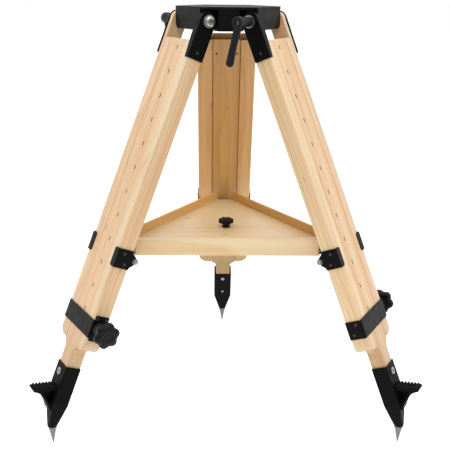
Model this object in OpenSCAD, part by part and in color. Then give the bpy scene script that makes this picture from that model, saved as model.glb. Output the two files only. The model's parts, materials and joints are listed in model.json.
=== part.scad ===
// Heavy wooden field tripod with an eyepiece tray, legs collapsed and spread.
// Origin: centre of the mounting face on top of the head. +Z is up, -Y is the front.
// Millimetres throughout.

/* [Stance] */
// Angle of each leg from the vertical
leg_tilt = 22.9; // [21:0.1:24]
// Distance from the head's axis to each hinge bolt
hinge_radius = 78; // [76:0.5:82]
// Depth of the hinge bolts below the mounting face
hinge_drop = 25; // [24:0.5:28]

/* [Head] */
// Width of each lug, between the ears of a leg
lug_w = 94.4; // [90:0.2:95]
// Distance from the axis to the face of a lug
lug_reach = 88; // [86:1:92]
// Distance from the axis to the faces between the lugs
face_reach = 85; // [82:1:86]
// Height of the head
head_h = 43; // [38:1:50]
// Thickness of its top plate
plate_t = 5; // [4:0.5:5.5]
// Diameter of the hole for the mount's bolt
mount_bore_d = 10.5; // [8.5:0.5:12.5]

/* [Legs] */
// Width of a leg across both rails
leg_w = 120; // [116:1:124]
// Thickness of the rails
rail_t = 31; // [28:1:32]
// Width of one rail
rail_w = 30.7; // [28:0.1:32]
// From the hinge to the bottom of the rails
rail_len = 651; // [640:1:670]
// From the hinge down to the shoulder where the ears start
shoulder_s = 41; // [38:1:46]
// Thickness of the wooden ears at the hinge
ear_t = 12.5; // [11:0.1:13]
// Gap between the sliding board and each rail
slide_gap = 0.3; // [0.2:0.05:0.5]

/* [Feet] */
// From the hinge to the top of the foot shoe
shoe_s = 697; // [690:1:705]
// Half width of the shoe
shoe_half = 21.5; // [20:0.5:23]
// From the hinge to the point of the spike, along the leg
tip_s = 859.4; // [855:0.2:862]
// How far the point lies inside the leg's centre plane
tip_n = -21.8; // [-24:0.2:-20]
// Length of the visible spike
spike_h = 36.5; // [28:0.5:42]

/* [Hardware] */
// Diameter of the hinge bolts
hinge_bolt_d = 12; // [10:1:12]
// Thickness of the folded sheet brackets
sheet_t = 2; // [1.5:0.5:2]
// Diameter of the tray axles
axle_d = 8; // [6:1:8]
// Diameter of the star knobs
star_d = 50; // [45:1:60]
// Length of a clamp lever, from its hub to its tip
lever_len = 79; // [70:1:85]

/* [Tray] */
// Distance from the axis to the outer face of each side board
tray_reach = 128; // [124:1:130]
// Distance from the axis to the cut corners
corner_reach = 216; // [212:1:218]
// Height of the side boards
rim_h = 36; // [30:1:40]
// Thickness of the side boards
rim_t = 6; // [5:0.5:8]
// Thickness of the tray's floor
floor_t = 6; // [5:0.5:8]

/* [Hidden] */
LEG_PARTS = [
    "rail_bolt_side", "rail_lever_side", "extension", "hinge_brackets", "hinge_bolt",
    "clamp_lever", "lever_screw", "tray_brackets", "tray_axle", "clamp_band", "star_knob",
    "knob_stud", "leg_screws", "foot_shoe", "spike", "foot_tread", "shoe_screws"
];
// Each leg's name, its azimuth, and which of its hinge brackets has the flange: 1 the bolt's
LEG_AZ = [["left", 210, 1], ["right", 330, -1], ["rear", 90, 1]];
SIDE_AZ = [["front", 270], ["right", 30], ["left", 150]];
$fn = 64;

// Clearances
turn_gap = 0.06; // radial, a shaft in a hole that it turns in
hold_gap = 0.03; // radial, a screw in a hole of its own body

// Leg sections. In leg coordinates X (n) points outward, Y (t) runs along the hinge bolt
// and Z points up the leg; s is the distance down from the hinge.
half_w = leg_w / 2;
face_n = rail_t / 2;
rail_in = half_w - rail_w;
board_half = rail_in - slide_gap;
board_out = face_n - 0.3;
board_in = 2 - face_n;
tongue_half = 4.5;
tongue_d = 4.5;
groove_gap = 0.3;
ear_in = half_w - ear_t;
rail_corner_r = 20;
rail_edge_r = 2.5;

// Folded sheet brackets
side_out = half_w + sheet_t;
flange_n = face_n + sheet_t;
hinge_bracket_s = 73;
tray_bracket_s = [441, 478];
band_s = [584, 619.5];
bolt_plate_s = [575, 625]; // the band's longer plate, on the knob's side

// Hinge hardware
bolt_r = hinge_bolt_d / 2;
washer_t = 2.5;
washer_r = 11.5;
bolt_head_r = 9.6;
bolt_head_h = 6.8;
bolt_end = -92;
hub_start = -(side_out + washer_t + 0.3);
hub_end = -105;
hub_r = 10.5;
lever_lean = 34; // angle from the leg to the handle, towards the inside
lever_root_r = 7.5;
lever_tip_r = 6.8;

// Tray hardware
axle_r = axle_d / 2;
axle_s = 459;
axle_n = -22.5;
axle_x = hinge_radius + axle_s * sin(leg_tilt) + axle_n * cos(leg_tilt);
axle_z = -hinge_drop - axle_s * cos(leg_tilt) + axle_n * sin(leg_tilt);
rim_z = axle_z - 3;
floor_z = rim_z + 12.5;
arm_t = 4;
arm_half = 14;
sleeve_r = 6.2;
clip_half = 12;
spreader_hub_r = 34;
boss_r = 12;
tray_stud_r = 4;

// Clamp
clamp_s = 599;
knob_start = side_out + 2.3;
disc_start = 88;
disc_end = 103;
stud_r = 5;
bush_r = 8;

// Foot
neck_half = 17.5;
neck_r = 14;
neck_s = 669;
shoe_in = board_in - 0.8;
shoe_out = face_n + 1.7;
socket_in = board_in + 1.3;
socket_s = 762;
taper_s = 775;
shoe_bolt_s = 712.5;
shoe_screw_s = 758.5;
spike_r = 8.2;
spike_stem_r = 5;

// Screws in the side faces: distance down the leg and offset outward
bracket_screws = [[60, 0], [450, 2], [469.5, -4]];
lever_side_screws = [[591.7, 4.4], [610.4, -4.5]];
bolt_side_screws = [[581, 9.5], [581, -8]];
screw_r = 1.5;
screw_depth = 8;

wood = "burlywood";
black = "#26262a";
steel = "silver";

// ---------- helpers ----------

// Rectangle between two corners with rounded corners
module round_rect(x0, x1, y0, y1, r) {
    translate([x0 + r, y0]) square([x1 - x0 - 2 * r, y1 - y0]);
    translate([x0, y0 + r]) square([x1 - x0, y1 - y0 - 2 * r]);
    for (x = [x0 + r, x1 - r], y = [y0 + r, y1 - r]) translate([x, y]) circle(r);
}

// Box in leg coordinates, between two values of n, t and s
module leg_box(n0, n1, t0, t1, s0, s1) {
    translate([n0, t0, -s1]) cube([n1 - n0, t1 - t0, s1 - s0]);
}

// Cylinder along the hinge direction from t0 to t1
module rod(r, t0, t1, n = 0, s = 0) {
    translate([n, t0, -s]) rotate([-90, 0, 0]) cylinder(r = r, h = t1 - t0);
}

// Cylinder along the outward direction from n0 to n1
module peg(r, n0, n1, t = 0, s = 0) {
    translate([n0, t, -s]) rotate([0, 90, 0]) cylinder(r = r, h = n1 - n0);
}

// A profile drawn as (n, s), spread from t0 to t1
module side_profile(t0, t1) {
    translate([0, t0, 0]) rotate([-90, 0, 0]) linear_extrude(t1 - t0) children();
}

// A profile drawn as (t, s), spread from n0 to n1
module face_profile(n0, n1) {
    translate([n0, 0, 0]) rotate([90, 0, 90]) linear_extrude(n1 - n0) mirror([0, 1]) children();
}

// Leg coordinates to the object's frame
module place_leg(az) {
    rotate([0, 0, az]) translate([hinge_radius, 0, -hinge_drop]) rotate([0, -leg_tilt, 0])
        children();
}

// Upright axes with their origin at the spike's point, in leg coordinates
module at_tip() {
    translate([tip_n, 0, -tip_s]) rotate([0, leg_tilt, 0]) children();
}

// The two sides of a leg
module both_sides() {
    for (m = [0, 1]) mirror([0, m, 0]) children();
}

// Outline of a knob with six lobes
module star_outline(r) {
    lobe_r = r * 0.26;
    difference() {
        union() {
            circle(r * 0.78);
            for (a = [0 : 60 : 300]) rotate(a) translate([r - lobe_r, 0]) circle(lobe_r);
        }
        for (a = [30 : 60 : 330]) rotate(a) translate([r * 1.02, 0]) circle(r * 0.27);
    }
}

// ---------- head ----------

// Corner of a lug's face, seen from above
function lug_corner(az, side) = [
    lug_reach * cos(az) - side * lug_w / 2 * sin(az),
    lug_reach * sin(az) + side * lug_w / 2 * cos(az)
];

// The ears of two legs leave a wedge of the head between them, drawn along its own direction
pocket_n = hinge_radius - 19.5;
wedge_root = [
    pocket_n * cos(60) + lug_w / 2 * sin(60),
    pocket_n * sin(60) - lug_w / 2 * cos(60)
];
wedge_tip_half = wedge_root[1] - (face_reach - wedge_root[0]) / tan(60);

module head_casting() {
    lug_h = head_h - 2;
    lug_r = 11;
    wall_t = 14;
    turns = [0, 120, 240];
    color(black) difference() {
        union() {
            translate([0, 0, -plate_t]) linear_extrude(plate_t)
                polygon([for (a = turns) for (side = [-1, 1]) lug_corner(90 + a, side)]);
            for (a = turns) rotate([0, 0, 90 + a]) rotate([90, 0, 90])
                linear_extrude(lug_reach) difference() {
                    round_rect(-lug_w / 2, lug_w / 2, -lug_h, lug_h, lug_r);
                    translate([-lug_w, -plate_t / 2]) square([2 * lug_w, 2 * lug_h]);
                }
            for (a = turns) rotate([0, 0, 270 + a]) translate([0, 0, -head_h])
                linear_extrude(head_h - plate_t / 2) polygon([
                    [0, 0], wedge_root, [face_reach, wedge_tip_half],
                    [face_reach, -wedge_tip_half], [wedge_root[0], -wedge_root[1]]
                ]);
        }
        translate([0, 0, -2 * head_h - wall_t]) cylinder(r = 40, h = 2 * head_h);
        translate([0, 0, -head_h]) cylinder(r = mount_bore_d / 2, h = 2 * head_h);
        for (a = turns) rotate([0, 0, 90 + a])
            translate([hinge_radius, 0, -hinge_drop]) rod(bolt_r + turn_gap, -lug_w, lug_w);
    }
}

// ---------- leg: wood ----------

// The rail on the bolt's side
module rail(screws, clamp_r) {
    color(wood) difference() {
        union() {
            intersection() {
                face_profile(-face_n, face_n) {
                    translate([ear_in, 0]) square([ear_t, shoulder_s + 1]);
                    intersection() {
                        translate([rail_in, shoulder_s]) square([rail_w, rail_len]);
                        round_rect(-half_w, half_w, 0, rail_len, rail_corner_r);
                    }
                }
                translate([0, 0, -rail_len - 1]) linear_extrude(rail_len + 2)
                    round_rect(-face_n, face_n, 0, half_w, rail_edge_r);
            }
            rod(face_n, ear_in, half_w);
            leg_box(-tongue_half, tongue_half, rail_in - tongue_d, rail_in + 1,
                shoulder_s + 2, rail_len - 25);
        }
        rod(bolt_r + hold_gap, 0, leg_w);
        for (p = screws)
            rod(screw_r + hold_gap, half_w - screw_depth - 1, leg_w, p[1], p[0]);
        if (clamp_r > 0) rod(clamp_r, 0, leg_w, 0, clamp_s);
    }
}

module rail_bolt_side() { rail(concat(bracket_screws, bolt_side_screws), bush_r + hold_gap); }
module rail_lever_side() {
    mirror([0, 1, 0]) rail(concat(bracket_screws, lever_side_screws), 0);
}

module extension() {
    groove_half = tongue_half + groove_gap;
    groove_t = rail_in - tongue_d - groove_gap;
    color(wood) difference() {
        union() {
            face_profile(board_in, board_out) difference() {
                union() {
                    translate([-board_half, shoulder_s])
                        square([2 * board_half, neck_s - shoulder_s]);
                    translate([-neck_half, shoulder_s]) square([2 * neck_half, shoe_s - shoulder_s]);
                }
                for (side = [-1, 1]) {
                    translate([side * (neck_half + neck_r), neck_s]) circle(neck_r);
                }
            }
            leg_box(socket_in, board_out, -neck_half, neck_half, shoe_s - 1, socket_s - 1);
        }
        both_sides() leg_box(-groove_half, groove_half, groove_t, half_w, 0, rail_len - 15);
        both_sides() leg_box(-rail_t, board_in + 3, board_half - 1, half_w, 0, rail_len - 15);
        for (t = [-21, 21]) peg(2, board_in - 1, board_in + 8, t, 73);
        peg(3 + hold_gap, -rail_t, rail_t, 0, shoe_bolt_s);
        peg(2 + hold_gap, -rail_t, 0, 0, shoe_screw_s);
    }
}

// ---------- leg: hinge ----------

module hinge_brackets(flange_side) {
    mid_n = (flange_n - face_n) / 2;
    color(black) for (side = [1, -1]) mirror([0, side == 1 ? 0 : 1, 0]) {
        difference() {
            side_profile(half_w, side_out) {
                round_rect(-face_n, flange_n, -5, hinge_bracket_s, 2);
                translate([mid_n, 0]) circle(face_n + sheet_t / 2);
            }
            rod(bolt_r + hold_gap, 0, leg_w);
            rod(screw_r + hold_gap, 0, leg_w, bracket_screws[0][1], bracket_screws[0][0]);
            difference() {
                leg_box(-rail_t, rail_t, 0, leg_w, -leg_w, 0);
                rod(face_n + sheet_t / 2, 0, leg_w, mid_n);
            }
        }
        if (side == flange_side) face_profile(face_n, flange_n) polygon([
            [ear_in, 0], [half_w + 0.5, 0], [half_w + 0.5, hinge_bracket_s],
            [half_w - 8, hinge_bracket_s], [ear_in, shoulder_s - 8]
        ]);
        if (side == flange_side) difference() {
            rod(flange_n, ear_in, half_w + 0.5);
            rod(face_n, 0, leg_w);
            leg_box(-leg_w, leg_w, 0, leg_w, 0, leg_w);
            leg_box(-leg_w, 0, 0, leg_w, -leg_w, leg_w);
        }
    }
}

module hinge_bolt() {
    color(steel) {
        difference() {
            union() {
                rod(bolt_r, bolt_end, side_out + washer_t + 1);
                translate([0, side_out + washer_t, 0]) rotate([-90, 0, 0]) rotate_extrude()
                    difference() {
                        intersection() {
                            round_rect(-bolt_head_r, bolt_head_r, -bolt_head_h, bolt_head_h, 4.5);
                            square(bolt_head_r);
                        }
                        translate([-leg_w, 0]) square([leg_w, leg_w]);
                    }
            }
            translate([0, side_out + washer_t + bolt_head_h - 5, 0]) rotate([-90, 0, 0])
                cylinder(r = 4.4, h = 10, $fn = 6);
        }
        for (t0 = [side_out, -side_out - washer_t]) difference() {
            rod(washer_r, t0, t0 + washer_t);
            rod(bolt_r + hold_gap, t0 - 1, t0 + washer_t + 1);
        }
    }
}

module clamp_lever() {
    reach = lever_len - lever_tip_r;
    color(black) difference() {
        union() {
            rod(hub_r - 1.2, hub_end + 14, hub_start);
            rod(hub_r, hub_end, hub_end + 15);
            hull() {
                translate([0, hub_end + 8, 0]) sphere(lever_root_r, $fn = 32);
                rotate([0, lever_lean, 0]) translate([0, hub_end + 1, -reach])
                    sphere(lever_tip_r, $fn = 32);
            }
        }
        rod(bolt_r + turn_gap, bolt_end - 0.5, hub_start + 1);
        rod(4 + hold_gap, hub_end - 1, hub_end + 9);
    }
}

module lever_screw() {
    color(steel) difference() {
        rod(4, hub_end - 1, hub_end + 8);
        translate([0, hub_end - 2, 0]) rotate([-90, 0, 0]) cylinder(r = 2, h = 4, $fn = 6);
    }
}

// ---------- leg: tray hardware ----------

module tray_brackets() {
    color(black) both_sides() {
        difference() {
            side_profile(half_w, side_out) {
                round_rect(-face_n, flange_n, tray_bracket_s[0], tray_bracket_s[1], 2);
                polygon([
                    [-face_n + 2, tray_bracket_s[0] + 3], [axle_n - 3, axle_s - 5],
                    [axle_n - 3, axle_s + 5], [-face_n + 2, tray_bracket_s[1] - 2]
                ]);
                translate([axle_n, axle_s]) circle(6);
            }
            rod(axle_r + hold_gap, 0, leg_w, axle_n, axle_s);
            for (i = [1, 2])
                rod(screw_r + hold_gap, 0, leg_w, bracket_screws[i][1], bracket_screws[i][0]);
        }
        face_profile(face_n, flange_n) intersection() {
            round_rect(half_w - 13, leg_w, tray_bracket_s[0], tray_bracket_s[1], 5);
            square([half_w + 0.5, rail_len]);
        }
    }
}

module tray_axle() {
    color(steel) {
        rod(axle_r, -side_out - 3, side_out + 3, axle_n, axle_s);
        both_sides() {
            rod(5.8, side_out, side_out + 1.2, axle_n, axle_s);
            translate([axle_n, side_out + 1, -axle_s]) rotate([-90, 0, 0])
                cylinder(r = 5.4, h = 4, $fn = 6);
            translate([axle_n, side_out + 4, -axle_s]) sphere(3.9);
        }
    }
}

// ---------- leg: clamp ----------

module clamp_band() {
    color(black) difference() {
        union() {
            translate([0, 0, -band_s[1]]) linear_extrude(band_s[1] - band_s[0]) difference() {
                round_rect(-half_w, flange_n, -side_out, side_out, 3);
                round_rect(-leg_w, face_n, -half_w, half_w, 1);
                translate([-leg_w - face_n, -leg_w]) square([leg_w, 2 * leg_w]);
            }
            side_profile(half_w, side_out)
                round_rect(2.5 - face_n, face_n - 1, bolt_plate_s[0], bolt_plate_s[1], 2);
            rod(bush_r, half_w - 12, half_w + 1, 0, clamp_s);
        }
        rod(stud_r + turn_gap, 0, leg_w, 0, clamp_s);
        for (p = bolt_side_screws) rod(screw_r + hold_gap, 0, leg_w, p[1], p[0]);
        for (p = lever_side_screws) rod(screw_r + hold_gap, -leg_w, 0, p[1], p[0]);
    }
}

module star_knob() {
    color(black) difference() {
        union() {
            rod(13, knob_start, disc_start + 1, 0, clamp_s);
            translate([0, 0, -clamp_s]) side_profile(disc_start, disc_end) star_outline(star_d / 2);
            rod(15, disc_end - 1, disc_end + 1.5, 0, clamp_s);
        }
        rod(stud_r + hold_gap, 0, disc_end - 5, 0, clamp_s);
    }
}

module knob_stud() { color(steel) rod(stud_r, board_half + 0.5, disc_end - 6, 0, clamp_s); }

// ---------- leg: fasteners ----------

module side_screw(p) {
    rod(screw_r, half_w - screw_depth, side_out + 0.5, p[1], p[0]);
    translate([p[1], side_out, -p[0]]) rotate([-90, 0, 0]) cylinder(r1 = 3, r2 = 2, h = 1.5);
}

module leg_screws() {
    color(steel) {
        for (p = concat(bracket_screws, bolt_side_screws)) side_screw(p);
        mirror([0, 1, 0]) for (p = concat(bracket_screws, lever_side_screws)) side_screw(p);
    }
}

module shoe_screws() {
    color(steel) {
        difference() {
            union() {
                peg(3, shoe_in - 1, shoe_out + 1, 0, shoe_bolt_s);
                peg(7, shoe_out, shoe_out + 2.2, 0, shoe_bolt_s);
                peg(4.5, shoe_in - 2.5, shoe_in, 0, shoe_bolt_s);
            }
            translate([shoe_out + 1, 0, -shoe_bolt_s]) rotate([0, 90, 0])
                cylinder(r = 2.9, h = 3, $fn = 6);
        }
        peg(2, shoe_in - 0.5, -1, 0, shoe_screw_s);
        peg(3, shoe_in - 1.2, shoe_in, 0, shoe_screw_s);
    }
}

// ---------- foot ----------

module foot_shoe() {
    color(black) difference() {
        union() {
            translate([0, 0, -taper_s]) linear_extrude(taper_s - shoe_s)
                round_rect(shoe_in, shoe_out, -shoe_half, shoe_half, 2);
            hull() {
                translate([0, 0, -taper_s]) linear_extrude(1)
                    round_rect(shoe_in, shoe_out, -shoe_half, shoe_half, 2, $fn = 24);
                at_tip() translate([0, 0, spike_h]) cylinder(r1 = 9, r2 = 10, h = 2.5, $fn = 32);
            }
        }
        leg_box(socket_in - 0.05, board_out + 0.05, -neck_half - 0.05, neck_half + 0.05,
            shoe_s - 1, socket_s);
        peg(3 + hold_gap, -rail_t, rail_t, 0, shoe_bolt_s);
        peg(2 + hold_gap, -rail_t, 0, 0, shoe_screw_s);
        at_tip() cylinder(r = spike_stem_r + hold_gap, h = spike_h + 19);
    }
}

module spike() {
    collar_z = spike_h - 5.5;
    color(steel) at_tip() {
        rotate_extrude() polygon([
            [0, 0], [0.9, 0], [spike_r - 1.4, collar_z - 1], [spike_r - 1.4, collar_z],
            [spike_r, collar_z + 0.6], [spike_r, spike_h - 0.6], [spike_r - 0.6, spike_h],
            [0, spike_h]
        ]);
        translate([0, 0, spike_h - 2]) cylinder(r = spike_stem_r, h = 20);
    }
}

module foot_tread() {
    pitch = 6.3;
    teeth = 6;
    rise = tan(13.9);
    root_s = 742;
    first_n = 21.8;
    last_n = first_n + teeth * pitch;
    last_s = root_s + (last_n - shoe_out) * rise;
    half = 14;
    web = 3.5;
    color(black) difference() {
        side_profile(-half, half) polygon([
            [shoe_out, root_s],
            [first_n, root_s + (first_n - shoe_out) * rise],
            for (i = [0 : teeth - 1]) each [
                [first_n + (i + 0.2) * pitch,
                    root_s + (first_n + i * pitch - shoe_out) * rise - 1.9],
                [first_n + (i + 0.5) * pitch,
                    root_s + (first_n + i * pitch - shoe_out) * rise - 1.6],
                [first_n + (i + 0.75) * pitch,
                    root_s + (first_n + (i + 1) * pitch - shoe_out) * rise + 0.6],
                [first_n + (i + 1) * pitch,
                    root_s + (first_n + (i + 1) * pitch - shoe_out) * rise]
            ],
            [last_n + 1.5, last_s + 1.5], [last_n + 1.8, last_s + 3.4],
            [last_n + 0.6, last_s + 4.8], [last_n - 7, last_s + 5.2],
            [46, 759.5], [39, 764.5], [32, 771.5], [25, 779], [20.5, 785], [shoe_out, 790.5],
            [shoe_out - 3.2, 789.5], [shoe_out, taper_s]
        ]);
        both_sides() side_profile(web, half + 1) polygon([
            [shoe_out + 2, 748.5], [43, 755.5], [37, 760.5], [29.5, 768], [23, 775.5],
            [shoe_out + 2, 779.5]
        ]);
    }
}

// ---------- tray ----------

// Corner of the tray at a leg, on the face that lies reach from the axis
function tray_corner(az, side, reach) =
    let (h = (reach - corner_reach * cos(60)) / sin(60))
    [
        corner_reach * cos(az) - side * h * sin(az),
        corner_reach * sin(az) + side * h * cos(az)
    ];

module tray_floor() {
    color(wood) difference() {
        translate([0, 0, floor_z]) linear_extrude(floor_t) polygon([
            for (a = [90, 210, 330]) for (side = [-1, 1])
                tray_corner(a, side, tray_reach - rim_t)
        ]);
        translate([0, 0, floor_z - 1]) cylinder(r = tray_stud_r + turn_gap, h = floor_t + 2);
    }
}

// Side board facing az
module tray_rim(az) {
    color(wood) translate([0, 0, rim_z]) linear_extrude(rim_h) polygon([
        tray_corner(az - 60, 1, tray_reach), tray_corner(az + 60, -1, tray_reach),
        tray_corner(az + 60, -1, tray_reach - rim_t), tray_corner(az - 60, 1, tray_reach - rim_t)
    ]);
}

module tray_knob() {
    base_z = floor_z + floor_t;
    color(black) difference() {
        translate([0, 0, base_z]) union() {
            cylinder(r = 8.5, h = 1.5);
            cylinder(r = 6, h = 8);
            translate([0, 0, 7]) linear_extrude(10.5) star_outline(14);
            translate([0, 0, 17]) cylinder(r1 = 9, r2 = 7, h = 1.8);
        }
        translate([0, 0, base_z - 1]) cylinder(r = tray_stud_r + hold_gap, h = 12.5);
    }
}

module tray_knob_stud() {
    color(steel) translate([0, 0, axle_z - 1])
        cylinder(r = tray_stud_r, h = floor_z + floor_t + 11 - axle_z + 1);
}

// Three-armed plate under the tray: a sleeve on the rear axle, clips on the front ones
module spreader() {
    top_z = axle_z + arm_t / 2;
    color(black) difference() {
        union() {
            translate([0, 0, axle_z - arm_t / 2]) linear_extrude(arm_t) {
                circle(spreader_hub_r);
                for (leg = LEG_AZ) rotate(leg[1])
                    translate([0, -arm_half]) square([axle_x - 4.6, 2 * arm_half]);
            }
            translate([0, 0, top_z - 0.5]) cylinder(r = boss_r, h = floor_z - top_z + 0.5);
            for (leg = LEG_AZ) rotate([0, 0, leg[1]]) translate([axle_x, 0, axle_z]) {
                half = leg[0] == "rear" ? 20 : clip_half;
                rotate([-90, 0, 0]) translate([0, 0, -half])
                    cylinder(r = sleeve_r, h = 2 * half);
            }
        }
        translate([0, 0, axle_z - 10]) cylinder(r = tray_stud_r + turn_gap, h = 30);
        for (leg = LEG_AZ) rotate([0, 0, leg[1]]) translate([axle_x, 0, axle_z]) {
            fit = leg[0] == "rear" ? turn_gap : 0.25;
            rotate([-90, 0, 0]) translate([0, 0, -30]) cylinder(r = axle_r + fit, h = 60);
            if (leg[0] != "rear") rotate([0, -leg_tilt, 0])
                translate([-axle_r - fit, -30, 0]) cube([2 * (axle_r + fit), 60, 30]);
        }
    }
}

// ---------- assembly ----------

module leg_part(p, flange_side) {
    if (p == "rail_bolt_side") rail_bolt_side();
    if (p == "rail_lever_side") rail_lever_side();
    if (p == "extension") extension();
    if (p == "hinge_brackets") hinge_brackets(flange_side);
    if (p == "hinge_bolt") hinge_bolt();
    if (p == "clamp_lever") clamp_lever();
    if (p == "lever_screw") lever_screw();
    if (p == "tray_brackets") tray_brackets();
    if (p == "tray_axle") tray_axle();
    if (p == "clamp_band") clamp_band();
    if (p == "star_knob") star_knob();
    if (p == "knob_stud") knob_stud();
    if (p == "leg_screws") leg_screws();
    if (p == "foot_shoe") foot_shoe();
    if (p == "spike") spike();
    if (p == "foot_tread") foot_tread();
    if (p == "shoe_screws") shoe_screws();
}

head_casting();
spreader();
tray_floor();
for (side = SIDE_AZ)
    tray_rim(side[1]);
tray_knob();
tray_knob_stud();
for (leg = LEG_AZ) for (p = LEG_PARTS)
    place_leg(leg[1]) leg_part(p, leg[2]);
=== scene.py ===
"""A heavy wooden field tripod with an eyepiece tray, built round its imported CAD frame.

Metres throughout, in the frame's own axes: +Z up, -Y the front, origin on top of the head.
"""

import json
import math
import random

import bmesh
import bpy
from mathutils import Matrix, Vector


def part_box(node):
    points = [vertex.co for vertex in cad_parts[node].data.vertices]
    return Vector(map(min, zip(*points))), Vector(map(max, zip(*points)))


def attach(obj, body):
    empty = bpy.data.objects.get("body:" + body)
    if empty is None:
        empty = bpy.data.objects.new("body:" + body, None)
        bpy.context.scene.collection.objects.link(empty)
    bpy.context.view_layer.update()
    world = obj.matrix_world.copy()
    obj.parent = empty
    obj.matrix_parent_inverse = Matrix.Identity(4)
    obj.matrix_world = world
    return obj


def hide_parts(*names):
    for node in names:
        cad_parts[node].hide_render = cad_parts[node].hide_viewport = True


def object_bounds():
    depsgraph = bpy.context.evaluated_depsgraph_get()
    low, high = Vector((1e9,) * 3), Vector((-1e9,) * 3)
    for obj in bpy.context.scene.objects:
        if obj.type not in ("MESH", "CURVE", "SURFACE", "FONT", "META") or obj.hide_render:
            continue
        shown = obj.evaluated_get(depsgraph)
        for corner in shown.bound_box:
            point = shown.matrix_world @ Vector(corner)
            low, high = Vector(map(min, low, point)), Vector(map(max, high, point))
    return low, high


MM = 0.001
FRONT_GLOW = 0.3  # how bright the room and the floor are on the camera's side
CAMERA_AT = (-0.0334, -1.5542, 0.0411)
CAMERA_PITCH_YAW_ROLL = (17.106, 1.154, 0.526)
CAMERA_LENS = 62.84
LEGS = ("left", "right", "rear")

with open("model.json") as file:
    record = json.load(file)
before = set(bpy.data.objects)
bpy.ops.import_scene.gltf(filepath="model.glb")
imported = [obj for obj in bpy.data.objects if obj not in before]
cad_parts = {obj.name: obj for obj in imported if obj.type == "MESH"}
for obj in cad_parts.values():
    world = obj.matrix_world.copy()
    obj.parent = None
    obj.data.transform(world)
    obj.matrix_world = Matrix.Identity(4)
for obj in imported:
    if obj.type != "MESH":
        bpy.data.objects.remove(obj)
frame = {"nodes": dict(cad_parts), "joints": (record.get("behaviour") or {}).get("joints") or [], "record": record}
cad_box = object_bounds()
nodes = frame["nodes"]
joints = {j["name"]: j for j in frame["joints"]}


# ---------- the legs' own axes ----------


def leg_matrix(leg):
    """Leg coordinates to the frame: X outward, Y along the hinge bolt, Z up the leg, zero at the hinge."""
    hinge = joints[f"{leg}_leg_fold"]
    along = Vector(hinge["axis"]).normalized()
    up = -Vector(joints[f"{leg}_extension_slide"]["axis"]).normalized()
    out = along.cross(up).normalized()
    m = Matrix((out, along, up)).transposed().to_4x4()
    m.translation = Vector(hinge["pos_m"])
    return m


LEG_MATRIX = {leg: leg_matrix(leg) for leg in LEGS}
BODY_OF = {n: b for b, held in frame["record"]["behaviour"]["bodies"].items() for n in held}

# the rows of length marks: which side of the board's middle they are on, then metres down the leg
MARK_SIDE = {"left": 1, "right": -1, "rear": 1}
MARK_FIRST, MARK_STEP, MARK_COUNT = 0.0575, 0.0474, 12
MARK_LONG, MARK_WIDE, MARK_ACROSS = 0.0084, 0.0037, 0.0085
BOARD_FACE = 0.0148  # just inside the board's outward face

# the knobs and levers, in millimetres and degrees
LEVER_LEAN, LEVER_LEN = 34, 79
LEVER_BOLT_R, LEVER_SCREW_R = 6.06, 4.03
STAR_R, STAR_BORE_R, STAR_LOBE = 25, 5.03, 0.16
TRAY_KNOB_R, TRAY_KNOB_BORE_R, TRAY_KNOB_LOBE = 15.2, 4.03, 0.24


# ---------- materials ----------


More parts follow.
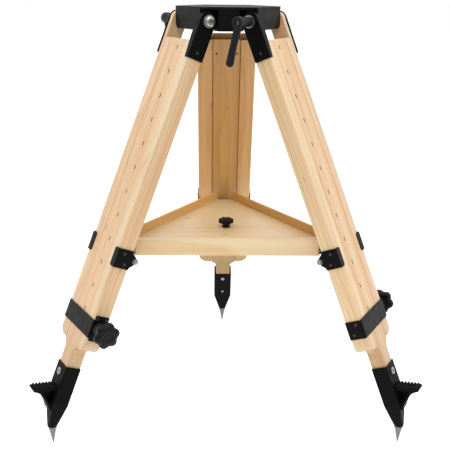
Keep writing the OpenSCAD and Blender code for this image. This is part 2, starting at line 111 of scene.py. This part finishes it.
class Shader:
    """A Principled material with helpers that add and link nodes."""

    def __init__(self, name, **settings):
        self.material = bpy.data.materials.new(name)
        self.material.use_nodes = True
        self.tree = self.material.node_tree
        self.tree.nodes.clear()
        out = self.tree.nodes.new("ShaderNodeOutputMaterial")
        self.bsdf = self.tree.nodes.new("ShaderNodeBsdfPrincipled")
        self.tree.links.new(self.bsdf.outputs[0], out.inputs[0])
        for key, value in settings.items():
            self.bsdf.inputs[key.replace("_", " ")].default_value = value

    def add(self, kind, inputs=None, out=0, **settings):
        """Adds a node, fills or links its inputs, and returns one of its outputs."""
        node = self.tree.nodes.new("ShaderNode" + kind)
        for key, value in settings.items():
            setattr(node, key, value)
        for key, value in (inputs or {}).items():
            if isinstance(value, bpy.types.NodeSocket):
                self.tree.links.new(value, node.inputs[key])
            else:
                node.inputs[key].default_value = value
        return node.outputs[out]

    def math(self, operation, a, b=0.0, c=0.0):
        return self.add("Math", {0: a, 1: b, 2: c}, operation=operation)

    def vector(self, operation, a, b):
        return self.add("VectorMath", {0: a, 1: b}, operation=operation)

    def ramp(self, value, stops):
        """A colour ramp; stops are (position, colour)."""
        node = self.tree.nodes.new("ShaderNodeValToRGB")
        self.tree.links.new(value, node.inputs[0])
        band = node.color_ramp.elements
        while len(band) < len(stops):
            band.new(0.5)
        for element, (position, colour) in zip(band, stops):
            element.position = position
            element.color = (*colour, 1.0)
        return node.outputs[0]

    def mix(self, factor, a, b, blend="MIX"):
        node = self.tree.nodes.new("ShaderNodeMix")
        node.data_type = "RGBA"
        node.blend_type = blend
        for key, value in ((0, factor), (6, a), (7, b)):
            if isinstance(value, bpy.types.NodeSocket):
                self.tree.links.new(value, node.inputs[key])
            else:
                node.inputs[key].default_value = value if key == 0 else (*value, 1.0)
        return node.outputs[2]

    def remap(self, value, low, high, to_low, to_high):
        return self.add("MapRange", {0: value, 1: low, 2: high, 3: to_low, 4: to_high})

    def noise(self, vector, scale, detail=3.0, roughness=0.5):
        return self.add(
            "TexNoise",
            {"Vector": vector, "Scale": scale, "Detail": detail, "Roughness": roughness},
        )

    def split(self, vector):
        """The vector's X, Y and Z."""
        node = self.tree.nodes.new("ShaderNodeSeparateXYZ")
        self.tree.links.new(vector, node.inputs[0])
        return node.outputs

    def place(self, matrix=None, shift=(0, 0, 0)):
        """Object coordinates seen in the axes of matrix, then moved by shift."""
        at = self.add("TexCoord", out=3)
        if matrix is not None:
            back = matrix.inverted()
            at = self.add(
                "Mapping",
                {"Vector": at, "Location": back.translation, "Rotation": back.to_euler()},
            )
        return self.vector("ADD", at, shift)

    def set(self, key, socket):
        self.tree.links.new(socket, self.bsdf.inputs[key])

    def rounded(self, radius):
        """Normals that round off sharp edges in the shading."""
        return self.add("Bevel", {"Radius": radius}, samples=4)

    def bump(self, height, distance, strength=1.0, under=None):
        inputs = {"Height": height, "Distance": distance, "Strength": strength}
        if under is not None:
            inputs["Normal"] = under
        return self.add("Bump", inputs)


def srgb(r, g, b):
    """Display values from 0 to 255 as linear light."""
    def one(v):
        v /= 255
        return v / 12.92 if v <= 0.04045 else ((v + 0.055) / 1.055) ** 2.4

    return (one(r), one(g), one(b))


# bare wood, from the early growth to the late
PALE = srgb(230, 210, 181)
MID = srgb(222, 193, 156)
DARK = srgb(199, 160, 117)
PORE = srgb(164, 116, 70)
FLECK = srgb(140, 92, 52)
# cut ends: real darker end grain, darkened further with painted shade
END_GRAIN_AND_SHADE = srgb(112, 76, 44)
MARK_INK = srgb(58, 36, 24)

# each board's tint where it is palest and where it is warmest: its varnish, except that the rear leg's and the
# right rim's tints are darkened with painted shade
LEG_TINTS = (srgb(246, 247, 239), srgb(245, 224, 204))
PALE_TINTS = (srgb(252, 253, 242), srgb(250, 238, 218))
BOARD_TINTS = (srgb(245, 240, 226), srgb(246, 220, 192))
# the rear leg's inward side: painted shade, darker and warmer than its varnish, for the shade between the legs
REAR_INWARD_SHADE_TINTS = (srgb(240, 218, 178), srgb(232, 204, 160))
REAR_BOARD_INWARD_SHADE_TINTS = (srgb(227, 205, 152), srgb(222, 190, 136))
TRAY_TINTS = (srgb(255, 255, 242), srgb(255, 248, 228))
# the rims' inner faces: both more yellow than the floor, and the right one darker still with painted shade
LEFT_RIM_TINTS = (srgb(255, 236, 178), srgb(255, 226, 158))
RIGHT_RIM_SHADE_TINTS = (srgb(228, 200, 124), srgb(218, 186, 108))

# the palest rail, and the painted shade that darkens each leg towards its foot, over these heights
PALEST = ("right", "rail_lever_side")
FOOT_SHADE_TINT = srgb(232, 230, 224)
REAR_FOOT_SHADE_TINT = srgb(200, 208, 214)
FOOT_SHADE_FROM, FOOT_SHADE_TO = -0.59, -0.66

LEG_RING, TRAY_RING = 0.0085, 0.012


def wood(name, matrix, seed, pith, ring, tints, marks=0, figure=1.0, low=None, unshaded_outward_tints=None):
    """Varnished pale wood.

    The grain runs along matrix's Z, pith is where the tree's centre lies across it, and ring is
    the width of a year's growth. marks is the side that the length marks are on, figure is how
    strongly the grain shows, and low is painted shade that darkens a leg's foot end. The last
    argument, if given, is the plain varnish for a leg's outward side, so that the darker tints
    stay on its inward side only, as painted shade.
    """
    rng = random.Random(seed)
    shift = (rng.uniform(-0.004, 0.004), rng.uniform(-0.004, 0.004), rng.uniform(-3, 3))
    s = Shader(name, Roughness=0.42, Coat_Weight=0.25, Coat_Roughness=0.3)
    here = s.place(matrix, shift=shift)

    # growth rings: long cones round the pith, bent by slow noise so that they crest on the wide faces
    slow = s.noise(s.vector("MULTIPLY", here, (9, 9, 2.2)), 1.0, 2.0)
    wander = s.remap(slow, 0.2, 0.8, -0.011, 0.011)
    ripple = s.noise(s.vector("MULTIPLY", here, (60, 60, 9)), 1.0, 2.0)
    wander = s.math("ADD", wander, s.remap(ripple, 0.2, 0.8, -0.0012, 0.0012))
    across, over, along_grain = s.split(here)
    x = s.math("SUBTRACT", across, pith[0])
    y = s.math("SUBTRACT", over, pith[1])
    radius = s.math("SQRT", s.math("ADD", s.math("MULTIPLY", x, x), s.math("MULTIPLY", y, y)))
    radius = s.math("ADD", radius, wander)
    radius = s.math("ADD", radius, s.math("MULTIPLY", along_grain, 0.008))
    turn = s.math("FRACT", s.math("DIVIDE", radius, ring))
    late = s.ramp(
        turn,
        [(0.0, (0.1,) * 3), (0.55, (0.25,) * 3), (0.86, (0.95,) * 3), (1.0, (0.1,) * 3)],
    )

    fibre = s.noise(s.vector("MULTIPLY", here, (900, 900, 14)), 1.0, 3.0, 0.6)
    streak = s.noise(s.vector("MULTIPLY", here, (70, 70, 1.6)), 1.0, 3.0, 0.55)
    cloud = s.noise(s.vector("MULTIPLY", here, (46, 46, 1.4)), 1.0, 2.0)

    tone = s.math("MULTIPLY", late, 0.38)
    tone = s.math("ADD", tone, s.remap(streak, 0.32, 0.7, 0.0, 0.42))
    tone = s.math("ADD", tone, s.remap(fibre, 0.3, 0.7, -0.06, 0.1))
    tone = s.math("MULTIPLY", tone, figure)
    colour = s.ramp(tone, [(0.0, PALE), (0.45, MID), (1.0, DARK)])
    tint = s.ramp(cloud, [(0.34, tints[0]), (0.66, tints[1])])
    own = s.split(s.place(matrix))
    # painted shade on a leg's inward side: it keeps the darker tints and foot shade, while the outward side gets
    # the plain varnish and the usual foot shade
    if unshaded_outward_tints:
        outward = s.remap(own[0], -0.008, 0.012, 0.0, 1.0)
        tint = s.mix(outward, tint, s.ramp(cloud, [(0.34, unshaded_outward_tints[0]), (0.66, unshaded_outward_tints[1])]))
        low = s.mix(outward, low, FOOT_SHADE_TINT)
    colour = s.mix(1.0, colour, tint, "MULTIPLY")

    # pores: short dark dashes along the grain, mostly in the early wood
    cell = s.vector("MULTIPLY", here, (520, 520, 42))
    pore = s.add("TexVoronoi", {"Vector": cell, "Scale": 1.0, "Randomness": 1.0})
    pore = s.remap(pore, 0.1, 0.24, 1.0, 0.0)
    pore = s.math("MULTIPLY", pore, s.remap(streak, 0.42, 0.62, 0.0, 1.0))
    colour = s.mix(s.math("MULTIPLY", pore, 0.35), colour, PORE)

    # a few small dark flecks
    fleck = s.add(
        "TexVoronoi",
        {"Vector": s.vector("MULTIPLY", here, (30, 30, 9)), "Scale": 1.0, "Randomness": 1.0},
    )
    fleck = s.remap(fleck, 0.03, 0.09, 1.0, 0.0)
    colour = s.mix(s.math("MULTIPLY", fleck, 0.55), colour, FLECK)

    # painted shade: the colour darkens towards the leg's foot
    if low:
        reach = s.remap(own[2], FOOT_SHADE_FROM, FOOT_SHADE_TO, 0.0, 1.0)
        colour = s.mix(reach, colour, s.mix(1.0, colour, low, "MULTIPLY"))
    if marks:
        colour = length_marks(s, own, colour, marks)
    # cut ends turn brown: partly the real darker end grain, partly painted shade, dark enough to stand for the
    # shadow under the head
    cut = end_grain(s, matrix)
    s.set("Base Color", s.mix(s.math("MULTIPLY", cut, 0.8), colour, END_GRAIN_AND_SHADE))

    rough = s.remap(fibre, 0.3, 0.7, 0.36, 0.52)
    s.set("Roughness", s.math("MAXIMUM", rough, cut))
    s.set("Specular IOR Level", s.remap(cut, 0.0, 1.0, 0.5, 0.0))
    s.set("Coat Weight", s.remap(cut, 0.0, 1.0, 0.25, 0.0))
    height = s.math("SUBTRACT", s.math("MULTIPLY", fibre, 0.5), s.math("MULTIPLY", pore, 0.9))
    s.set("Normal", s.bump(height, 0.00012, 0.5, s.rounded(0.0012)))
    return s.material


def end_grain(s, matrix):
    """1 on faces cut across the grain, which soak up the varnish and turn dull. Their brown is partly real end
    grain and partly painted shade.
    """
    facing = s.add("TexCoord", out=1)
    along = s.add("VectorMath", {0: facing, 1: matrix.col[2].xyz}, out=1, operation="DOT_PRODUCT")
    return s.remap(s.math("ABSOLUTE", along), 0.75, 0.95, 0.0, 1.0)


def length_marks(s, own, colour, side):
    """Short strokes down the sliding board's outward face that show how far it is out."""
    down = s.math("MULTIPLY", own[2], -1.0)
    steps = s.math("DIVIDE", s.math("SUBTRACT", down, MARK_FIRST), MARK_STEP)
    phase = s.math("FRACT", s.math("ADD", steps, 0.5))
    stroke = s.math("COMPARE", phase, 0.5, MARK_LONG / 2 / MARK_STEP)
    width = s.math("COMPARE", own[1], side * MARK_ACROSS, MARK_WIDE / 2)
    outward = s.math("GREATER_THAN", own[0], BOARD_FACE)
    count = s.math("COMPARE", steps, (MARK_COUNT - 1) / 2, MARK_COUNT / 2)
    on_board = s.math("MULTIPLY", outward, count)
    mask = s.math("MULTIPLY", s.math("MULTIPLY", stroke, width), on_board)
    return s.mix(s.math("MULTIPLY", mask, 0.95), colour, MARK_INK)


def shades(base, dark, light):
    """Two stops of a ramp, either side of a base colour."""
    return [(0.3, tuple(v * dark for v in base)), (0.7, tuple(v * light for v in base))]


def powder_coat(name, base, rough, grain, gloss, edge_r):
    """Black powder coat on metal: fine orange peel, a little dust, and paler worn edges."""
    s = Shader(name, Specular_IOR_Level=gloss)
    here = s.place()
    peel = s.noise(here, 900.0 * grain, 2.0, 0.5)
    patch = s.noise(here, 22.0, 3.0, 0.6)
    worn = s.add("NewGeometry", out=7)
    edge = s.remap(worn, 0.52, 0.6, 0.0, 1.0)
    colour = s.ramp(patch, shades(base, 0.85, 1.25))
    colour = s.mix(s.math("MULTIPLY", edge, 0.35), colour, tuple(v * 3.0 for v in base))
    s.set("Base Color", colour)
    s.set("Roughness", s.remap(s.noise(here, 60.0, 3.0), 0.3, 0.7, rough - 0.07, rough + 0.09))
    s.set("Normal", s.bump(peel, 0.00022, 0.35, s.rounded(edge_r)))
    return s.material


def moulded(name, base):
    """Black moulded plastic with a fine eroded texture."""
    s = Shader(name, Specular_IOR_Level=0.2)
    here = s.place()
    grain = s.add("TexVoronoi", {"Vector": here, "Scale": 1400.0, "Randomness": 1.0})
    patch = s.noise(here, 40.0, 3.0)
    s.set("Base Color", s.ramp(patch, shades(base, 0.85, 1.2)))
    s.set("Roughness", s.remap(s.noise(here, 160.0, 2.0), 0.3, 0.7, 0.4, 0.56))
    s.set("Normal", s.bump(grain, 0.00012, 0.3))
    return s.material


def plated(name, base, rough=0.28):
    """Zinc plated steel: cloudy plating and a fine grain."""
    s = Shader(name, Metallic=1.0)
    here = s.place()
    cloud = s.noise(here, 90.0, 4.0, 0.6)
    fine = s.noise(here, 1500.0, 2.0)
    s.set("Base Color", s.ramp(cloud, shades(base, 0.86, 1.0)))
    s.set("Roughness", s.remap(cloud, 0.3, 0.7, rough - 0.06, rough + 0.12))
    s.set("Normal", s.bump(fine, 0.00006, 0.3))
    return s.material


def coat(obj, material):
    obj.data.materials.clear()
    obj.data.materials.append(material)


casting = powder_coat("casting_black", (0.002, 0.002, 0.0019), 0.46, 0.8, 0.13, 0.0012)
sheet = powder_coat("sheet_black", (0.0018, 0.0018, 0.0017), 0.38, 1.2, 0.08, 0.0006)
feet = powder_coat("feet_black", (0.0028, 0.0027, 0.0026), 0.5, 0.7, 0.045, 0.0012)
plastic = moulded("plastic_black", (0.0036, 0.0035, 0.0036))
grip = moulded("plastic_blue_black", (0.0085, 0.008, 0.012))
dull_steel = plated("steel_dull", (0.34, 0.33, 0.31), 0.4)
steel = plated("steel_plated", (0.5, 0.49, 0.45))
spike_steel = plated("steel_spike", (0.2, 0.195, 0.185), 0.36)
blackened = plated("steel_blackened", (0.07, 0.062, 0.055), 0.36)

for seed, leg in enumerate(LEGS):
    at = LEG_MATRIX[leg]
    # the rear leg: darker tints and a bluer foot tint as painted shade on its inward side
    tints = (REAR_INWARD_SHADE_TINTS, REAR_BOARD_INWARD_SHADE_TINTS) if leg == "rear" else (LEG_TINTS, BOARD_TINTS)
    # the lever's rail, the board and the bolt's rail are cut from different planks
    for part, pith, offset in (
        ("rail_lever_side", (-0.09, -0.01), 1),
        ("extension", (-0.07, 0.012), 2),
        ("rail_bolt_side", (-0.075, 0.06), 3),
    ):
        is_board = part == "extension"
        made = wood(
            f"wood_{leg}_{part}", at, 10 * seed + offset, pith, LEG_RING,
            PALE_TINTS if (leg, part) == PALEST else tints[is_board],
            marks=MARK_SIDE[leg] if is_board else 0,
            low=REAR_FOOT_SHADE_TINT if leg == "rear" else FOOT_SHADE_TINT,
            unshaded_outward_tints=(LEG_TINTS, BOARD_TINTS)[is_board] if leg == "rear" else None,
        )
        coat(nodes[f"{leg}_{part}"], made)
    for part in ("hinge_brackets", "tray_brackets", "clamp_band"):
        coat(nodes[f"{leg}_{part}"], sheet)
    for part in ("foot_shoe", "foot_tread"):
        coat(nodes[f"{leg}_{part}"], feet)
    for part in ("clamp_lever", "star_knob"):
        coat(nodes[f"{leg}_{part}"], plastic)
    for part in ("hinge_bolt", "lever_screw", "knob_stud"):
        coat(nodes[f"{leg}_{part}"], steel)
    for part in ("tray_axle", "shoe_screws"):
        coat(nodes[f"{leg}_{part}"], dull_steel)
    coat(nodes[f"{leg}_spike"], spike_steel)
    coat(nodes[f"{leg}_leg_screws"], blackened)

coat(nodes["head_casting"], casting)
coat(nodes["spreader"], sheet)
coat(nodes["tray_knob"], plastic)
coat(nodes["tray_knob_stud"], steel)


def along(azimuth):
    """Axes with Z horizontal along azimuth, for grain that runs that way."""
    a = math.radians(azimuth)
    z = Vector((math.cos(a), math.sin(a), 0))
    up = Vector((0, 0, 1))
    return Matrix((up, z.cross(up), z)).transposed().to_4x4()


made = wood("wood_tray_floor", along(0), 41, (-0.52, 0.05), TRAY_RING, TRAY_TINTS, figure=0.5)
coat(nodes["tray_floor"], made)
# the right rim's darker tints are painted shade on its inner face
for seed, (side, azimuth, tints) in enumerate(
    (("front", 0, TRAY_TINTS), ("right", 120, RIGHT_RIM_SHADE_TINTS), ("left", 240, LEFT_RIM_TINTS))
):
    made = wood(
        f"wood_tray_rim_{side}", along(azimuth), 50 + seed, (-0.5, -0.2), TRAY_RING, tints
    )
    coat(nodes[f"tray_rim_{side}"], made)


# ---------- moulded parts ----------


def skin(name, rings, material, smooth_angle=40):
    """A closed mesh over rings of points. A ring of one point closes an end."""
    bm = bmesh.new()
    made = [[bm.verts.new(p) for p in ring] for ring in rings]
    for a, b in zip(made, made[1:]):
        count = max(len(a), len(b))
        for i in range(count):
            k = (i + 1) % count
            if len(a) == 1:
                bm.faces.new((a[0], b[i], b[k]))
            elif len(b) == 1:
                bm.faces.new((a[i], b[0], a[k]))
            else:
                bm.faces.new((a[i], b[i], b[k], a[k]))
    bmesh.ops.recalc_face_normals(bm, faces=bm.faces)
    for face in bm.faces:
        face.smooth = True
    for edge in bm.edges:
        edge.smooth = edge.calc_face_angle(0.0) < math.radians(smooth_angle)
    mesh = bpy.data.meshes.new(name)
    bm.to_mesh(mesh)
    bm.free()
    mesh.materials.append(material)
    obj = bpy.data.objects.new(name, mesh)
    bpy.context.collection.objects.link(obj)
    return obj


def turned(matrix, profile, lobes=0, count=96):
    """Rings for a profile of (height, radius, lobe depth) about matrix's Z, in millimetres."""
    rings = []
    for height, radius, depth in profile:
        if radius == 0:
            rings.append([matrix @ Vector((0, 0, height * MM))])
            continue
        ring = []
        for i in range(count):
            a = math.tau * i / count
            r = radius * (1 - depth * (0.5 - 0.5 * math.cos(lobes * a)) ** 1.3) * MM
            ring.append(matrix @ Vector((r * math.cos(a), r * math.sin(a), height * MM)))
        rings.append(ring)
    return rings


def rounded(corners, radius, steps=4):
    """A profile's corners, each given as (height, radius of the part), rounded off by radius."""
    points = [Vector(c) for c in corners]
    out = [tuple(points[0])]
    for before, here, after in zip(points, points[1:], points[2:]):
        a, b = (before - here), (after - here)
        reach = min(radius, a.length * 0.45, b.length * 0.45)
        start, end = here + a.normalized() * reach, here + b.normalized() * reach
        for i in range(steps + 1):
            t = i / steps
            out.append(tuple(start * (1 - t) ** 2 + here * 2 * t * (1 - t) + end * t**2))
    out.append(tuple(points[-1]))
    return out


def joined(base, *others):
    """Unites closed meshes into base, so that no walls are left inside it."""
    for other in others:
        union = base.modifiers.new("union", "BOOLEAN")
        union.operation, union.solver, union.object = "UNION", "EXACT", other
    graph = bpy.context.evaluated_depsgraph_get()
    mesh = bpy.data.meshes.new_from_object(base.evaluated_get(graph))
    base.modifiers.clear()
    base.data = mesh
    for other in others:
        bpy.data.objects.remove(other)
    return base


def axle_frame(matrix, s, side):
    """Axes at the distance s down the leg, with Z along the hinge direction (side 1) or against it."""
    z = Vector((0, side, 0))
    x = Vector((0, 0, -1))
    turn = Matrix((x, z.cross(x), z)).transposed().to_4x4()
    turn.translation = Vector((0, 0, -s * MM))
    return matrix @ turn


def plain(points):
    """Points of a profile where the part is round."""
    return [(height, radius, 0) for height, radius in points]


def lobed(points, depth, start, spread):
    """Points where the lobes deepen from nothing at radius start to depth over spread."""
    return [
        (height, radius, depth * min(1.0, max(0.0, (radius - start) / spread)))
        for height, radius in points
    ]


def star_knob(leg):
    """A six-lobed knob on a tapered hub, with a dished cap. It is hollow where the stud goes in."""
    low, high = (v / MM for v in along_axis(f"{leg}_star_knob", leg))
    pivot = LEG_MATRIX[leg].inverted() @ Vector(joints[f"{leg}_knob_turn"]["pos_m"])
    at = axle_frame(LEG_MATRIX[leg], -pivot.z / MM, 1)
    inner_end, disc = high - 6.5, high - 16.5
    hub = [(low, STAR_BORE_R), (low, 14.5), (low + 7, 12.0), (disc, 11.5)]
    wall = [
        (disc, 12), (disc + 0.5, STAR_R - 4), (disc + 3, STAR_R), (disc + 12, STAR_R),
        (high - 1.5, STAR_R - 4.5), (high - 0.6, 15),
    ]
    cap = [(high - 0.6, 14.5), (high, 13), (high, 10.5), (high - 1, 9.5), (high - 1.2, 4)]
    profile = [(inner_end, 0, 0), (inner_end, STAR_BORE_R, 0), (low, STAR_BORE_R, 0)]
    profile += plain(rounded(hub, 1.2)[1:-1])
    profile += lobed(rounded(wall, 3.2, 5), STAR_LOBE, 12, 9)
    profile += plain(rounded(cap, 0.8, 3)) + [(high - 1.2, 0, 0)]
    return skin(f"{leg}_knob_body", turned(at, profile, 6), plastic)


def along_axis(node, leg):
    """How far a CAD node reaches along its leg's hinge direction."""
    back = LEG_MATRIX[leg].inverted()
    reach = [(back @ (nodes[node].matrix_world @ v.co)).y for v in nodes[node].data.vertices]
    return min(reach), max(reach)


def clamp_lever(leg):
    """A hub with a wider head, and a flat handle that swells towards its rounded end."""
    low, high = (v / MM for v in along_axis(f"{leg}_clamp_lever", leg))
    at = axle_frame(LEG_MATRIX[leg], 0, -1)
    foot, top = -high, -low
    bolt_end, screw_end = top - 12.5, top - 9.0
    corners = [
        (foot, LEVER_BOLT_R), (foot, 9.0), (foot + 6, 8.6), (top - 17, 8.6),
        (top - 13.5, 10.5), (top, 10.5), (top, LEVER_SCREW_R),
    ]
    profile = [(bolt_end, 0), (bolt_end, LEVER_BOLT_R)] + rounded(corners, 1.4)
    profile += [(screw_end, LEVER_SCREW_R), (screw_end, 0)]
    hub = skin(f"{leg}_lever_hub", turned(at, plain(profile)), grip)
    handle = skin(f"{leg}_lever_handle", handle_rings(leg, top), grip)
    return joined(hub, handle)


def handle_rings(leg, top):
    """Rings round the handle. Each station is its distance from the axis, its height up the hub,
    half its width and half its depth."""
    lean = math.radians(LEVER_LEAN)
    direction = Vector((-math.sin(lean), 0, -math.cos(lean)))
    side = Vector((math.cos(lean), 0, -math.sin(lean)))
    up = Vector((0, -1, 0))
    stations = [
        (7.5, top - 8.0, 6.6, 5.2), (10, top - 7.9, 7.4, 5.6), (13, top - 7.6, 7.4, 5.4),
        (18, top - 7.0, 6.9, 4.9), (28, top - 5.6, 6.5, 4.5), (42, top - 4.2, 6.4, 4.3),
        (56, top - 3.2, 6.9, 4.3), (69, top - 2.6, 7.5, 4.4),
    ]
    last_reach, last_height, last_w, last_d = stations[-1]
    edge = 1.2
    for k in (0.4, 0.65, 0.82, 0.93, 0.99):
        shrink = (1 - k**3) ** 0.4
        far = last_reach + (LEVER_LEN - last_reach) * k
        stations.append(
            (far, last_height + 0.4 * k, last_w * shrink, edge + (last_d - edge) * shrink)
        )
    rings = [[centre(leg, direction, up, 7.0, top - 8.0)]]
    for reach, height, half_w, half_d in stations:
        middle = direction * reach + up * height
        ring = []
        for i in range(40):
            a = math.tau * i / 40
            ca, sa = math.cos(a), math.sin(a)
            x = math.copysign(abs(ca) ** 0.72, ca) * half_w
            y = math.copysign(abs(sa) ** 0.72, sa) * half_d
            ring.append(LEG_MATRIX[leg] @ ((middle + side * x + up * y) * MM))
        rings.append(ring)
    rings.append([centre(leg, direction, up, LEVER_LEN, last_height + 0.4)])
    return rings


def centre(leg, direction, up, reach, height):
    """The point that closes an end of the handle."""
    return LEG_MATRIX[leg] @ ((direction * reach + up * height) * MM)


def tray_knob():
    """A small six-lobed knob on a waisted neck."""
    lo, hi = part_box("tray_knob")
    at = Matrix.Translation((0, 0, lo[2]))
    height = (hi[2] - lo[2]) / MM
    bore, rim = TRAY_KNOB_BORE_R, TRAY_KNOB_R
    inner = height - 7.5
    neck = [(0, bore), (0, 9.0), (2, 8.6), (4, 6.4), (7.2, 6.6)]
    wall = [
        (7.2, 7), (7.6, rim - 3), (8.6, rim), (height - 3, rim),
        (height - 1, rim - 1.5), (height - 0.4, 8),
    ]
    profile = [(inner, 0, 0), (inner, bore, 0), (0, bore, 0)]
    profile += plain(rounded(neck, 0.8)[1:-1])
    profile += lobed(rounded(wall, 1.6), TRAY_KNOB_LOBE, 6.8, 5)
    profile += [(height - 0.1, 7.2, 0), (height, 6.2, 0), (height, 0, 0)]
    return skin("tray_knob_body", turned(at, profile, 6, 72), plastic)


for leg in LEGS:
    for piece, node in ((star_knob(leg), "star_knob"), (clamp_lever(leg), "clamp_lever")):
        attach(piece, BODY_OF[f"{leg}_{node}"])
        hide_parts(f"{leg}_{node}")
piece = tray_knob()
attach(piece, BODY_OF["tray_knob"])
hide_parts("tray_knob")


# ---------- stage, light and camera ----------


def floor():
    """A white sweep that the spikes just touch, bright round and behind the part, grey in front."""
    mesh = bpy.data.meshes.new("floor")
    half, z = 14.0, cad_box[0].z
    mesh.from_pydata(
        [(-half, -half, z), (half, -half, z), (half, half, z), (-half, half, z)], [], [(0, 1, 2, 3)]
    )
    plane = bpy.data.objects.new("floor", mesh)
    bpy.context.collection.objects.link(plane)
    s = Shader("floor_white", Roughness=0.9, Specular_IOR_Level=0.0)
    near = s.remap(s.split(s.place())[1], -1.3, -0.62, FRONT_GLOW, 1.0)
    paper = s.remap(s.noise(s.place(), 3.0, 2.0), 0.3, 0.7, 0.98, 1.0)
    s.set("Base Color", s.ramp(near, [(0.0, (0.1,) * 3), (1.0, (0.5,) * 3)]))
    s.set("Emission Color", s.ramp(near, [(0.0, (0.0,) * 3), (1.0, (1.0,) * 3)]))
    s.set("Emission Strength", paper)
    plane.data.materials.append(s.material)


def studio():
    """White all round, except for a grey room behind the camera."""
    world = bpy.data.worlds.new("studio")
    world.use_nodes = True
    tree = world.node_tree
    at = tree.nodes.new("ShaderNodeTexCoord")
    parts = tree.nodes.new("ShaderNodeSeparateXYZ")
    tree.links.new(at.outputs[0], parts.inputs[0])
    fall = tree.nodes.new("ShaderNodeMapRange")
    tree.links.new(parts.outputs[1], fall.inputs[0])
    for key, value in ((1, -0.75), (2, 0.1), (3, FRONT_GLOW), (4, 1.0)):
        fall.inputs[key].default_value = value
    background = tree.nodes["Background"]
    background.inputs["Color"].default_value = (1, 1, 1, 1)
    tree.links.new(fall.outputs[0], background.inputs["Strength"])
    bpy.context.scene.world = world


def softbox(name, location, target, size, power):
    """A square light at location that faces target."""
    light = bpy.data.lights.new(name, "AREA")
    light.shape = "SQUARE"
    light.size = size
    light.energy = power
    lamp = bpy.data.objects.new(name, light)
    lamp.location = location
    lamp.rotation_euler = (Vector(target) - Vector(location)).to_track_quat("-Z", "Y").to_euler()
    bpy.context.collection.objects.link(lamp)


def camera():
    """The camera looks down a little on the tripod, from in front of it."""
    pitch, yaw, roll = (math.radians(v) for v in CAMERA_PITCH_YAW_ROLL)
    level = math.cos(pitch)
    forward = Vector((math.sin(yaw) * level, math.cos(yaw) * level, -math.sin(pitch)))
    right = Vector((math.cos(yaw), -math.sin(yaw), 0))
    up = right.cross(forward)
    right, up = (
        right * math.cos(roll) + up * math.sin(roll),
        up * math.cos(roll) - right * math.sin(roll),
    )
    data = bpy.data.cameras.new("camera")
    data.sensor_width = 36
    data.lens = CAMERA_LENS
    data.clip_start, data.clip_end = 0.05, 60
    cam = bpy.data.objects.new("camera", data)
    m = Matrix((right, up, -forward)).transposed().to_4x4()
    m.translation = Vector(CAMERA_AT)
    cam.matrix_world = m
    bpy.context.collection.objects.link(cam)
    bpy.context.scene.camera = cam


floor()
studio()
middle = (0, 0, -0.4)
softbox("key", (-1.6, -1.6, 1.9), middle, 1.6, 13)
softbox("fill", (2.0, -1.2, 1.2), middle, 1.8, 9)
softbox("front", (0.1, -2.2, 2.0), middle, 1.4, 32)
softbox("top", (0.0, -0.2, 2.6), middle, 1.4, 24)
camera()
bpy.context.scene.view_settings.view_transform = "Standard"
